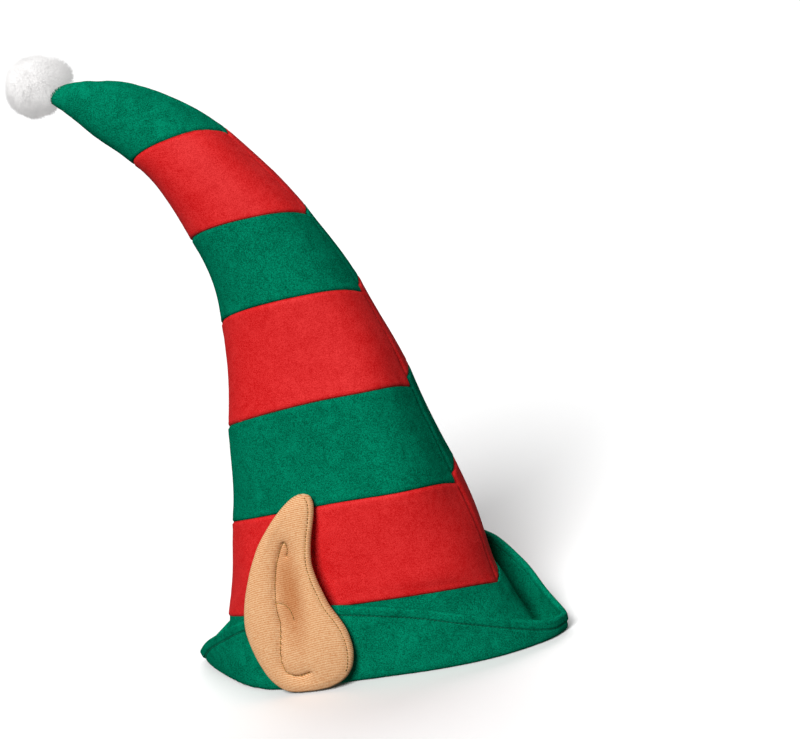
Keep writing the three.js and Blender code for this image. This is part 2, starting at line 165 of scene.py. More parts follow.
def edge_stripe(edge, turn, side):
    """Stripe numbers along a stripe's lower edge, which arches up in the middle of a panel."""
    from_middle = turn / (math.pi / 2) - 1
    arch = STRIPE_ARCH * (1 - from_middle ** 2)
    slip = PANEL_SLIP * STRIPES[edge]["slip"] if side > 0 else 0
    return edge + (arch + slip) / stripe_height(edge)


def ripples(points, length, seed):
    """Smooth uneven waves through space, about -1 to 1, the same on every run."""
    chance = np.random.default_rng(seed)
    total = np.zeros(points.shape[:-1])
    for _ in range(RIPPLE_WAVES):
        way = chance.normal(size=3)
        way *= 2 * math.pi / (length * chance.uniform(0.7, 1.4) * np.linalg.norm(way))
        total += np.sin(points @ way + chance.uniform(0, 2 * math.pi))
    return total / (RIPPLE_WAVES / 2)


def steps_along(grid, axis):
    """Distance along the rows or columns of a grid of points from its first edge."""
    step = np.linalg.norm(np.diff(grid, axis=axis), axis=-1)
    start = np.zeros_like(np.take(step, [0], axis=axis))
    return np.concatenate([start, np.cumsum(step, axis=axis)], axis=axis)


def face_normals(grid, around=False):
    """Unit normals of a grid of points, whose rows close on themselves if it goes around."""
    wide = np.concatenate([grid[:, -1:], grid, grid[:, :1]], axis=1) if around else grid
    across = np.gradient(wide, axis=1)
    if around:
        across = across[:, 1:-1]
    normal = np.cross(np.gradient(grid, axis=0), across)
    return normal / np.linalg.norm(normal, axis=-1, keepdims=True)


def new_piece(name, points, faces, material):
    """A smooth mesh of points and faces in one material, as a new object."""
    mesh = bpy.data.meshes.new(name)
    mesh.from_pydata(points.reshape(-1, 3).tolist(), [], faces)
    mesh.materials.append(material)
    mesh.shade_smooth()
    piece = bpy.data.objects.new(name, mesh)
    bpy.context.scene.collection.objects.link(piece)
    return piece


def cloth_shell(name, outer, inner, material, around=False):
    """A closed wall of cloth between two grids of points, as a new object."""
    rows, columns = outer.shape[:2]
    reach = columns if around else columns - 1
    i, j = np.meshgrid(np.arange(rows - 1), np.arange(reach), indexing="ij")
    after = (j + 1) % columns
    quads = np.stack([i * columns + j, i * columns + after,
                      (i + 1) * columns + after, (i + 1) * columns + j], axis=-1).reshape(-1, 4)
    behind = rows * columns
    faces = [quads, quads[:, ::-1] + behind]
    rim = np.arange(reach)
    rim_after = (rim + 1) % columns
    last = (rows - 1) * columns
    faces.append(np.stack([rim_after, rim, rim + behind, rim_after + behind], axis=-1))
    faces.append(np.stack([rim, rim_after, rim_after + behind, rim + behind], axis=-1) + last)
    if not around:
        side = np.arange(rows - 1) * columns
        end = side + columns - 1
        faces.append(np.stack([side, side + columns, side + columns + behind, side + behind], -1))
        faces.append(np.stack([end + columns, end, end + behind, end + columns + behind], -1))
    points = np.concatenate([outer.reshape(-1, 3), inner.reshape(-1, 3)])
    piece = new_piece(name, points, np.concatenate(faces).tolist(), material)
    piece.data.set_sharp_from_angle(angle=FOLD_ANGLE)
    return piece


FELT_ROUGHNESS = 0.62
FIBRE_SCALE = 1400
BRUSHED_SCALE = 75
BRUSHED_SHARE = 0.3
DARK_DYE_END = 0.39
LIGHT_DYE_START = 0.61
NAP_STRENGTH = 0.7
NAP_DEPTH = 0.45 * MM
RED_DARK = (0.6, 0.0008, 0.002)
RED_LIGHT = (0.83, 0.031, 0.031)
RED_GLOSS = 0.2
GREEN_DARK = (0.0002, 0.09, 0.046)
GREEN_LIGHT = (0.001, 0.262, 0.142)
GREEN_GLOSS = 0.0


def noise(nodes, link, place, scale, detail, roughness, distortion):
    """A noise node over places on the piece itself."""
    node = nodes.new("ShaderNodeTexNoise")
    node.inputs["Scale"].default_value = scale
    node.inputs["Detail"].default_value = detail
    node.inputs["Roughness"].default_value = roughness
    node.inputs["Distortion"].default_value = distortion
    link(place.outputs["Object"], node.inputs["Vector"])
    return node


def felt_finish(name, dark, light, gloss):
    """Brushed felt: short dyed wool fibres, some lighter and some in shadow, with a fine nap."""
    material = bpy.data.materials.new(name)
    material.use_nodes = True
    nodes = material.node_tree.nodes
    link = material.node_tree.links.new
    surface = nodes["Principled BSDF"]
    surface.inputs["Roughness"].default_value = FELT_ROUGHNESS
    surface.inputs["Specular IOR Level"].default_value = gloss
    place = nodes.new("ShaderNodeTexCoord")
    fibres = noise(nodes, link, place, FIBRE_SCALE, detail=1.5, roughness=0.85, distortion=0.2)
    fibres.name = "fibres"
    brushed = noise(nodes, link, place, BRUSHED_SCALE, detail=4, roughness=0.65, distortion=1.2)
    tufts = nodes.new("ShaderNodeMath")
    tufts.operation = "MULTIPLY_ADD"
    tufts.inputs[1].default_value = BRUSHED_SHARE
    tufts.inputs[2].default_value = -BRUSHED_SHARE / 2
    link(brushed.outputs["Fac"], tufts.inputs[0])
    pile = nodes.new("ShaderNodeMath")
    pile.operation = "ADD"
    link(tufts.outputs[0], pile.inputs[0])
    link(fibres.outputs["Fac"], pile.inputs[1])
    dye = nodes.new("ShaderNodeValToRGB")
    dye.name = "dye"
    dye.color_ramp.elements[0].position = DARK_DYE_END
    dye.color_ramp.elements[0].color = (*dark, 1)
    dye.color_ramp.elements[1].position = LIGHT_DYE_START
    dye.color_ramp.elements[1].color = (*light, 1)
    link(pile.outputs[0], dye.inputs["Fac"])
    link(dye.outputs["Color"], surface.inputs["Base Color"])
    nap = nodes.new("ShaderNodeBump")
    nap.name = "nap"
    nap.inputs["Strength"].default_value = NAP_STRENGTH
    nap.inputs["Distance"].default_value = NAP_DEPTH
    link(fibres.outputs["Fac"], nap.inputs["Height"])
    link(nap.outputs["Normal"], surface.inputs["Normal"])
    return material


red_felt = felt_finish("red_felt", RED_DARK, RED_LIGHT, RED_GLOSS)
green_felt = felt_finish("green_felt", GREEN_DARK, GREEN_LIGHT, GREEN_GLOSS)


def seam_valley(distance, width=SEAM_SINK_WIDTH):
    """How far the felt sinks, or swells, at distances from a sewn seam."""
    sink = SEAM_SINK * np.exp(-(distance / width) ** 2)
    return SEAM_SWELL * np.exp(-(distance / SEAM_SWELL_WIDTH) ** 2) - sink


def ridge_beside(turn):
    """A soft ridge from 0 to 1 at turns from a seam, with one even slope down to the seam."""
    slope = (1 - np.cos(math.pi * np.clip(turn / RIDGE_TURN, 0, 1))) / 2
    return slope * np.exp(-(np.maximum(turn - RIDGE_TURN, 0) / RIDGE_SPREAD) ** 2)


def seam_ridges(stripe, turn, side):
    """How far a panel stands out along the soft ridges that run up beside its two seams."""
    front = FAR_RIDGE * np.clip(1 - stripe / FAR_RIDGE_END, 0, 1) if side > 0 else 1
    ridge = front * ridge_beside(turn) + BACK_RIDGE * ridge_beside(math.pi - turn)
    return RIDGE_RISE * ridge * crown_share(stripe, "ridge")


def stripe_panel(index, side):
    """One stripe of one panel, from seam to seam."""
    stripe = STRIPES[index]
    last = index == len(STRIPES) - 1
    turn = np.linspace(0, math.pi, PANEL_COLUMNS + 1)
    turn = turn - SEAM_CROWDING * np.sin(2 * turn)
    gap_share = SEAM_GAP / 2 / stripe_height(index)
    low = edge_stripe(index, turn, side) + gap_share
    if last:
        high = np.full_like(turn, len(STRIPES))
    else:
        high = edge_stripe(index + 1, turn, side) - gap_share
    rows = round(stripe_height(index) / ROW_STEP)
    share = np.linspace(0, 1, rows + 1)[:, None]
    place = low + (high - low) * share
    face = crown_point(place, turn[None, :], side)
    upward = steps_along(face, 0)
    around = steps_along(face, 1)
    edges = [around, around[:, -1:] - around, upward]
    if not last:
        edges.append(upward[-1:] - upward)
    front_width = FAR_SINK_WIDTH if side > 0 else SEAM_SINK_WIDTH
    lift = seam_valley(edges[0], front_width) + seam_valley(edges[1])
    lift = lift + STRIPE_SEAM_SHARE * sum(seam_valley(distance) for distance in edges[2:])
    nearest = np.minimum.reduce(edges)
    lift = lift + PUCKER * ripples(face, PUCKER_LENGTH, seed=5) * np.exp(-nearest / PUCKER_REACH)
    lift = lift + CROWN_SAG * ripples(face, CROWN_SAG_LENGTH, seed=8)
    ridges = seam_ridges(place, turn[None, :], side)
    if index == 0:
        ridges = ridges * (1 - np.exp(-(upward / SEAM_SWELL_WIDTH) ** 2))
    lift = lift + ridges
    normal = -side * face_normals(face)
    outer = face + normal * lift[..., None]
    inner = face - normal * FELT
    return outer, inner


for side, panel in [(-1, "near"), (1, "far")]:
    for index, stripe in enumerate(STRIPES):
        node = f"{stripe['name']}_{panel}"
        finish = red_felt if stripe["colour"] == "red" else green_felt
        outer, inner = stripe_panel(index, side)
        band = cloth_shell(f"{node}_felt", outer, inner, finish)
        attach(band, "root")
        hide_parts(node)


# Brim
# One piece of green felt is sewn round the foot of the stripes, flares out to where the hat rests,
# and is turned up into two tall flaps. The edge is folded double and topstitched.
BRIM_LENGTH = 300 * MM
BRIM_WIDTH = 150 * MM
FLAP_HEIGHT = 62 * MM
FOLD_RADIUS = 2 * MM
HEM_HEIGHT = 8.5 * MM
HEM_EXTRA = 2.2 * MM
HEM_STEP = 1.2 * MM
HEM_STITCH = 7.6 * MM
STITCH_GROOVE = 0.9 * MM
STITCH_GROOVE_WIDTH = 0.9 * MM
BRIM_SAG = 1.3 * MM
BRIM_SAG_LENGTH = 60 * MM
BRIM_SAG_START = 22 * MM
JOIN_HOLD = 15 * MM
BRIM_COLUMNS = 190
BRIM_ROWS = 52
# The rows near the hem, by their distance from its edge, crowd where the stitches draw it in.
HEM_ROWS = np.concatenate([np.arange(2.6, 6.4, 1.1), np.arange(6.6, 10.2, 0.45)]) * MM
# Each row is a turn from the open end to the pointed end: the fold's place as shares of half the
# brim, the foot's as a share of the way to the fold, the flaps' heights, and how far they lean.
BRIM_SECTIONS = [
    dict(turn=0, fold_x=1, fold_y=0, foot=0.52, near=0.24, far=0.24, lean=0),
    dict(turn=12, fold_x=0.96, fold_y=0.18, foot=0.5, near=0.25, far=0.22, lean=0),
    dict(turn=28, fold_x=0.875, fold_y=0.35, foot=0.5, near=0.34, far=0.38, lean=0),
    dict(turn=42, fold_x=0.75, fold_y=0.53, foot=0.45, near=0.49, far=0.73, lean=0),
    dict(turn=52, fold_x=0.6, fold_y=0.67, foot=0.45, near=0.64, far=1.01, lean=0),
    dict(turn=63, fold_x=0.4, fold_y=0.79, foot=0.4, near=0.79, far=1.12, lean=-0.02),
    dict(turn=75, fold_x=0.173, fold_y=0.88, foot=0.4, near=0.91, far=1.08, lean=-0.03),
    dict(turn=90, fold_x=-0.02, fold_y=0.935, foot=0.4, near=0.98, far=1, lean=-0.05),
    dict(turn=105, fold_x=-0.23, fold_y=0.975, foot=0.4, near=1, far=1, lean=-0.08),
    dict(turn=118, fold_x=-0.405, fold_y=1, foot=0.4, near=0.95, far=0.93, lean=-0.1),
    dict(turn=131, fold_x=-0.565, fold_y=0.87, foot=0.4, near=0.83, far=0.8, lean=-0.08),
    dict(turn=145, fold_x=-0.7, fold_y=0.65, foot=0.4, near=0.65, far=0.6, lean=-0.04),
    dict(turn=160, fold_x=-0.83, fold_y=0.39, foot=0.4, near=0.44, far=0.38, lean=0.05),
    dict(turn=172, fold_x=-0.92, fold_y=0.17, foot=0.4, near=0.22, far=0.2, lean=0.3),
    dict(turn=180, fold_x=-0.96, fold_y=0, foot=0.4, near=0.15, far=0.15, lean=0.5),
]


def rounded(line, rounds=4):
    """A line of points with its corners cut smooth and its two ends kept."""
    for _ in range(rounds):
        cuts = np.stack([line[:-1] * 0.75 + line[1:] * 0.25, line[:-1] * 0.25 + line[1:] * 0.75], 1)
        cuts = cuts.reshape(-1, *line.shape[1:])
        line = np.concatenate([line[:1], cuts[1:-1], line[-1:]])
    return line


def brim_grid():
    """The middle of the brim's felt as rows from the join to the hem, and how far each row's points
    lie from the join and from the hem's edge."""
    turn = np.linspace(0, math.pi, BRIM_COLUMNS, endpoint=False)
    turn = np.concatenate([turn, math.pi - turn])
    side = np.repeat([1, -1], BRIM_COLUMNS)
    edge = edge_stripe(0, turn, -1) - SEAM_GAP / 2 / stripe_height(0)
    angle = round_angle(edge, turn, side)
    degrees = np.degrees(np.abs(angle))
    row = {key: read(BRIM_SECTIONS, "turn", degrees, key) for key in BRIM_SECTIONS[0]}
    join = crown_point(edge, turn, side, FELT / 2)
    fold = np.stack([CROWN_X + BRIM_LENGTH / 2 * row["fold_x"],
                     np.sign(angle) * BRIM_WIDTH / 2 * row["fold_y"]], axis=-1)
    out = fold - join[:, :2]
    reach = np.linalg.norm(out, axis=-1)
    out = out / reach[:, None]
    reach = reach - FELT / 2
    flap = FLAP_HEIGHT * np.where(angle > 0, row["far"], row["near"])
    foot = np.minimum(row["foot"] * reach, reach - FELT - 2 * FOLD_RADIUS)
    fold_top = FOLD_RADIUS + FELT / 2
    corners = [(0 * foot, join[:, 2])]
    for share, down in [(0.3, 0.3), (0.62, 0.68)]:
        corners.append((foot * share, join[:, 2] + (fold_top - join[:, 2]) * down))
    corners.append((foot, 0 * foot + FELT / 2))
    corners.append((reach - FOLD_RADIUS, 0 * foot + FELT / 2))
    for up in (0 * foot + fold_top, (fold_top + flap) / 2, flap):
        corners.append((reach + row["lean"] * (up - fold_top), up))
    line = rounded(np.array(corners).transpose(0, 2, 1))
    length = steps_along(line, 0)
    edge_turn = np.linspace(0, math.pi / 2, 5)
    near_hem = np.concatenate([(FELT + HEM_EXTRA) / 2 * (1 - np.cos(edge_turn)), HEM_ROWS])
    grid, from_join, from_hem = [], [], []
    for j in range(len(turn)):
        whole = length[-1, j]
        body = np.linspace(0, whole - near_hem[-1], BRIM_ROWS, endpoint=False)
        places = np.concatenate([body, (whole - near_hem)[::-1]])
        across = np.interp(places, length[:, j], line[:, j, 0])
        up = np.interp(places, length[:, j], line[:, j, 1])
        grid.append(np.column_stack([join[j, :2] + out[j] * across[:, None], up]))
        from_join.append(places)
        from_hem.append(whole - places)
    return [np.array(part).swapaxes(0, 1) for part in (grid, from_join, from_hem)]


middle, from_join, from_hem = brim_grid()
sag_share = np.clip(middle[..., 2] / BRIM_SAG_START - 0.4, 0, 1)
sag_share *= np.clip(from_join / JOIN_HOLD, 0, 1)
sag = BRIM_SAG * sag_share * ripples(middle, BRIM_SAG_LENGTH, seed=21)
middle = middle + face_normals(middle, around=True) * sag[..., None]
wall = FELT + HEM_EXTRA * np.clip((HEM_HEIGHT - from_hem) / HEM_STEP, 0, 1)
wall -= 2 * STITCH_GROOVE * np.exp(-((from_hem - HEM_STITCH) / STITCH_GROOVE_WIDTH) ** 2)
past_edge = np.clip(1 - from_hem / ((FELT + HEM_EXTRA) / 2), 0, 1)
wall *= np.sqrt(np.maximum(1 - past_edge ** 2, 0.002))
half_wall = face_normals(middle, around=True) * (wall / 2)[..., None]
over = middle + half_wall
under = middle - half_wall
brim = cloth_shell("brim_felt", under, over, green_felt, around=True)
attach(brim, "root")
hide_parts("brim")


# Hem stitching
# A row of short green stitches runs round the brim through its doubled edge. The sewing thread is
# pulled tight, so that the felt sinks along the row, and it shows on both faces.
HEM_STITCH_STEP = 3.1 * MM
HEM_STITCH_LENGTH = 2.3 * MM
HEM_THREAD = 0.7 * MM
HEM_THREAD_DARK = (0.001, 0.09, 0.05)
HEM_THREAD_LIGHT = (0.01, 0.24, 0.14)
THREAD_GLOSS = 0.2
THREAD_SIDES = 6


def evenly(points, step):
    """Points spaced evenly along a line of points."""
    length = steps_along(points[:, None], 0)[:, 0]
    places = np.arange(step / 2, length[-1], step)
    return np.column_stack([np.interp(places, length, points[:, k]) for k in range(3)])


def thread_stitches(name, centres, ways, length, thickness, material):
    """A row of stitches as one piece: each is a short strand of thread along its way."""
    along = np.array([-0.5, -0.38, 0, 0.38, 0.5]) * length
    girth = np.array([0.3, 0.8, 1, 0.8, 0.3]) * thickness / 2
    turn = np.arange(THREAD_SIDES) * 2 * math.pi / THREAD_SIDES
    ways = ways / np.linalg.norm(ways, axis=-1, keepdims=True)
    aside = np.cross(ways, [0.0, 0.6, 0.8])
    aside /= np.linalg.norm(aside, axis=-1, keepdims=True)
    above = np.cross(ways, aside)
    ring = aside[:, None] * np.cos(turn)[:, None] + above[:, None] * np.sin(turn)[:, None]
    points = (centres[:, None, None] + ways[:, None, None] * along[:, None, None]
              + ring[:, None] * girth[:, None, None])
    faces = []
    strand = len(along) * THREAD_SIDES
    for start in range(0, len(centres) * strand, strand):
        last = start + strand - THREAD_SIDES
        for low in range(start, last, THREAD_SIDES):
            for m in range(THREAD_SIDES):
                a = low + m
                b = low + (m + 1) % THREAD_SIDES
                faces.append((a, b, b + THREAD_SIDES, a + THREAD_SIDES))
        faces.append(tuple(range(start + THREAD_SIDES - 1, start - 1, -1)))
        faces.append(tuple(range(last, start + strand)))
    return new_piece(name, points, faces, material)


stitch_row = np.argmin(np.abs(from_hem[:, 0] - HEM_STITCH))
hem_thread = felt_finish("green_thread", HEM_THREAD_DARK, HEM_THREAD_LIGHT, THREAD_GLOSS)
for name, face in [("hem_stitches_outside", under), ("hem_stitches_inside", over)]:
    line = np.concatenate([face[stitch_row], face[stitch_row, :1]])
    centres = evenly(line, HEM_STITCH_STEP)
    ways = np.roll(centres, -1, axis=0) - centres
    row = thread_stitches(name, centres, ways, HEM_STITCH_LENGTH, HEM_THREAD, hem_thread)
    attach(row, "root")


# Ears
# Each ear is two layers of ribbed knit stuffed with soft filling. A quilted line of brown thread
# draws the fold of a real ear, and the front edge has a rolled seam with its stitches showing.
EAR_LENGTH = 145 * MM
EAR_WIDTH = 82 * MM
EAR_CENTRE_X = -30 * MM
EAR_FOOT_HEIGHT = 1.5 * MM
EAR_LEAN_IN = 20 * MM
EAR_BOW = 1.7
EAR_CUP = 3 * MM
EAR_TURN_IN = math.tan(math.radians(4))
EAR_EDGE = 2 * MM
EAR_PAD = 4.6 * MM
EAR_BACK_PAD = 1.8 * MM
EAR_RECESS = 5.2 * MM
EAR_RECESS_PLACE = np.array([0, 74]) * MM
EAR_RECESS_SPREAD = np.array([12.5, 46]) * MM
KNIT_DARK = (0.63, 0.265, 0.1)
KNIT_LIGHT = (0.87, 0.55, 0.3)
KNIT_GLOSS = 0.15
KNIT_ROUGHNESS = 0.8
YARN_SCALE = 900
BROWN_DARK = (0.07, 0.03, 0.006)
BROWN_LIGHT = (0.6, 0.38, 0.1)
BROWN_GLOSS = 0.3
RIB_PITCH = 1.33 * MM
RIB_SLOPE = math.radians(-17)
RIB_PAINTED_SHADE = 0.12
FIBRE_SHARE = 0.55
# Colour of the painted shade over the ear's recess.
PAINTED_RECESS_SHADE = (0.72, 0.54, 0.42)
EAR_PAD_EASE = 6 * MM
EAR_PAD_ROUNDING = 0.4
EAR_RECESS_EASE = 8 * MM
QUILT_DEPTH = 1.3 * MM
QUILT_WIDTH = 0.75 * MM
QUILT_HOLD = 0.4
BRANCH_DEPTH = 0.9 * MM
BRANCH_WIDTH = 0.9 * MM
EDGE_SEAM_INSET = 3.3 * MM
EDGE_SEAM_DEPTH = 0.6 * MM
EDGE_SEAM_START = 0.12
EDGE_SEAM_ROWS = slice(50, 245)
EAR_THREAD = 0.65 * MM
EAR_THREAD_LIFT = 0.45 * MM
# Each row of stitches: its name, the step from one stitch to the next, and a stitch's length.
EAR_STITCHING = [("quilt", 1.7 * MM, 1.5 * MM), ("branch", 1.7 * MM, 1.5 * MM),
                 ("seam", 2.6 * MM, 1.9 * MM)]
EAR_ROWS = 260
EAR_COLUMNS = 60
CUSHION_CELL = 1.25 * MM
CUSHION_ROUNDS = 900
EAR_SECTIONS = [
    dict(up=0, rear=-0.1, front=0.09),
    dict(up=0.008, rear=-0.185, front=0.205),
    dict(up=0.037, rear=-0.27, front=0.335),
    dict(up=0.083, rear=-0.342, front=0.417),
    dict(up=0.139, rear=-0.394, front=0.459),
    dict(up=0.204, rear=-0.438, front=0.472),
    dict(up=0.287, rear=-0.476, front=0.452),
    dict(up=0.348, rear=-0.49, front=0.41),
    dict(up=0.427, rear=-0.478, front=0.338),
    dict(up=0.517, rear=-0.438, front=0.285),
    dict(up=0.577, rear=-0.4, front=0.256),
    dict(up=0.65, rear=-0.348, front=0.236),
    dict(up=0.711, rear=-0.295, front=0.243),
    dict(up=0.78, rear=-0.225, front=0.266),
    dict(up=0.88, rear=-0.082, front=0.313),
    dict(up=0.936, rear=0.018, front=0.328),
    dict(up=0.972, rear=0.098, front=0.318),
    dict(up=0.99, rear=0.152, front=0.295),
    dict(up=1, rear=0.205, front=0.252),
]
# The quilted lines' corners, as shares of the ear's width from its centre and of its length.
QUILT_LINE = [(0.012, 0.7), (0.034, 0.745), (0.012, 0.782), (-0.035, 0.745), (-0.088, 0.675),
              (-0.127, 0.59), (-0.149, 0.5), (-0.149, 0.42), (-0.138, 0.375), (-0.155, 0.3),
              (-0.192, 0.21), (-0.187, 0.135), (-0.13, 0.098), (-0.05, 0.084), (0.065, 0.105)]
QUILT_BRANCH = [(-0.147, 0.474), (-0.09, 0.474), (-0.043, 0.452), (-0.014, 0.418), (0.0, 0.378)]


def knit_finish(name, dark, light):
    """Ribbed knit: fine even ribs of a soft yarn, which slope a little down towards the front. The
    knit's colour carries painted shade in the rib grooves and over the ear's recess.
    """
    material = felt_finish(name, dark, light, KNIT_GLOSS)
    nodes = material.node_tree.nodes
    link = material.node_tree.links.new
    nodes["Principled BSDF"].inputs["Roughness"].default_value = KNIT_ROUGHNESS
    nodes["fibres"].inputs["Scale"].default_value = YARN_SCALE
    nodes["fibres"].inputs["Distortion"].default_value = 0.3
    place = nodes.new("ShaderNodeTexCoord")
    across_ribs = nodes.new("ShaderNodeVectorMath")
    across_ribs.operation = "DOT_PRODUCT"
    wave = 2 * math.pi / RIB_PITCH
    across_ribs.inputs[1].default_value = (-math.sin(RIB_SLOPE) * wave, 0, math.cos(RIB_SLOPE) * wave)
    link(place.outputs["Object"], across_ribs.inputs[0])
    rib = nodes.new("ShaderNodeMath")
    rib.operation = "SINE"
    link(across_ribs.outputs["Value"], rib.inputs[0])
    soft_fibres = nodes.new("ShaderNodeMath")
    soft_fibres.operation = "MULTIPLY_ADD"
    soft_fibres.inputs[1].default_value = FIBRE_SHARE
    soft_fibres.inputs[2].default_value = (1 - FIBRE_SHARE) / 2
    link(nodes["fibres"].outputs["Fac"], soft_fibres.inputs[0])
    # The ribs darken the knit's colour along their grooves, as painted shade, and also shape its nap.
    ribs_and_fibres = nodes.new("ShaderNodeMath")
    ribs_and_fibres.operation = "MULTIPLY_ADD"
    ribs_and_fibres.inputs[1].default_value = RIB_PAINTED_SHADE
    link(rib.outputs[0], ribs_and_fibres.inputs[0])
    link(soft_fibres.outputs[0], ribs_and_fibres.inputs[2])
    link(ribs_and_fibres.outputs[0], nodes["nap"].inputs["Height"])
    # Painted shade: the knit's colour is darkened in a soft oval over the ear's recess, where shade
    # falls.
    from_recess = nodes.new("ShaderNodeVectorMath")
    from_recess.operation = "SUBTRACT"
    from_recess.inputs[1].default_value = (CROWN_X + EAR_CENTRE_X + EAR_RECESS_PLACE[0], 0,
                                           EAR_FOOT_HEIGHT + EAR_RECESS_PLACE[1])
    link(place.outputs["Object"], from_recess.inputs[0])
    oval = nodes.new("ShaderNodeVectorMath")
    oval.operation = "MULTIPLY"
    oval.inputs[1].default_value = (1 / EAR_RECESS_SPREAD[0], 0, 1 / EAR_RECESS_SPREAD[1])
    link(from_recess.outputs[0], oval.inputs[0])
    reach = nodes.new("ShaderNodeVectorMath")
    reach.operation = "LENGTH"
    link(oval.outputs[0], reach.inputs[0])
    recess_shade_share = nodes.new("ShaderNodeMapRange")
    recess_shade_share.interpolation_type = "SMOOTHSTEP"
    recess_shade_share.inputs["From Min"].default_value = 0.1
    recess_shade_share.inputs["From Max"].default_value = 1.25
    recess_shade_share.inputs["To Min"].default_value = 1
    recess_shade_share.inputs["To Max"].default_value = 0
    link(reach.outputs["Value"], recess_shade_share.inputs["Value"])
    painted_recess_shade = nodes.new("ShaderNodeMix")
    painted_recess_shade.data_type = "RGBA"
    painted_recess_shade.blend_type = "MULTIPLY"
    # A colour mix has its factor at 0, its colours at 6 and 7, and its result at 2.
    painted_recess_shade.inputs[7].default_value = (*PAINTED_RECESS_SHADE, 1)
    link(recess_shade_share.outputs["Result"], painted_recess_shade.inputs[0])
    link(nodes["dye"].outputs["Color"], painted_recess_shade.inputs[6])
    link(painted_recess_shade.outputs[2], nodes["Principled BSDF"].inputs["Base Color"])
    link(ribs_and_fibres.outputs[0], nodes["dye"].inputs["Fac"])
    return material


ear_knit = knit_finish("ear_knit", KNIT_DARK, KNIT_LIGHT)
brown_thread = felt_finish("brown_thread", BROWN_DARK, BROWN_LIGHT, BROWN_GLOSS)


def smooth_through(points, rounds=4):
    """A smooth line near the corners given, in metres across and up the ear."""
    return rounded(np.array(points) * [EAR_WIDTH, EAR_LENGTH], rounds)


def nearest_distance(places, line):
    """Distance of each place to the nearest stretch of a line of points."""
    best = np.full(places.shape[:-1], 1.0)
    for start, end in zip(line[:-1], line[1:]):
        way = end - start
        share = np.clip((places - start) @ way / (way @ way), 0, 1)
        best = np.minimum(best, np.linalg.norm(places - start - share[..., None] * way, axis=-1))
    return best


def ear_edges(up):
    """The rear and front edges at heights up the ear."""
    rear = EAR_WIDTH * read(EAR_SECTIONS, "up", up, "rear")
    return rear, EAR_WIDTH * read(EAR_SECTIONS, "up", up, "front")


def between(grid, row, column):
    """Values of a grid at places between its rows and columns."""
    i = np.minimum(row.astype(int), grid.shape[0] - 2)
    j = np.minimum(column.astype(int), grid.shape[1] - 2)
    spread = (1,) * (grid.ndim - 2)
    di = (row - i).reshape(row.shape + spread)
    dj = (column - j).reshape(column.shape + spread)
    below = grid[i, j] * (1 - dj) + grid[i, j + 1] * dj
    above = grid[i + 1, j] * (1 - dj) + grid[i + 1, j + 1] * dj
    return below * (1 - di) + above * di


def stuffing(places, quilting):
    """How full the ear is at places, 0 to 1: cloth swollen by its filling, held at its edge and
    along the quilted lines."""
    across = np.arange(-EAR_WIDTH / 2, EAR_WIDTH / 2 + CUSHION_CELL, CUSHION_CELL)
    up = np.arange(0, EAR_LENGTH + CUSHION_CELL, CUSHION_CELL)
    cell = np.stack(np.meshgrid(across, up), axis=-1)
    rear, front = ear_edges(np.clip(up / EAR_LENGTH, 0, 1))
    inside = (cell[..., 0] > rear[:, None]) & (cell[..., 0] < front[:, None])
    held = nearest_distance(cell, quilting) < CUSHION_CELL * 0.75
    height = np.zeros(inside.shape)
    for _ in range(CUSHION_ROUNDS):
        total = np.zeros_like(height)
        total[1:] += height[:-1]
        total[:-1] += height[1:]
        total[:, 1:] += height[:, :-1]
        total[:, :-1] += height[:, 1:]
        height = (total / 4 + 1) * inside
        height[held] *= QUILT_HOLD
    height = np.sqrt(height / height.max())
    column = np.clip((places[..., 0] - across[0]) / CUSHION_CELL, 0, len(across) - 1.001)
    row = np.clip(places[..., 1] / CUSHION_CELL, 0, len(up) - 1.001)
    return between(height, row, column)


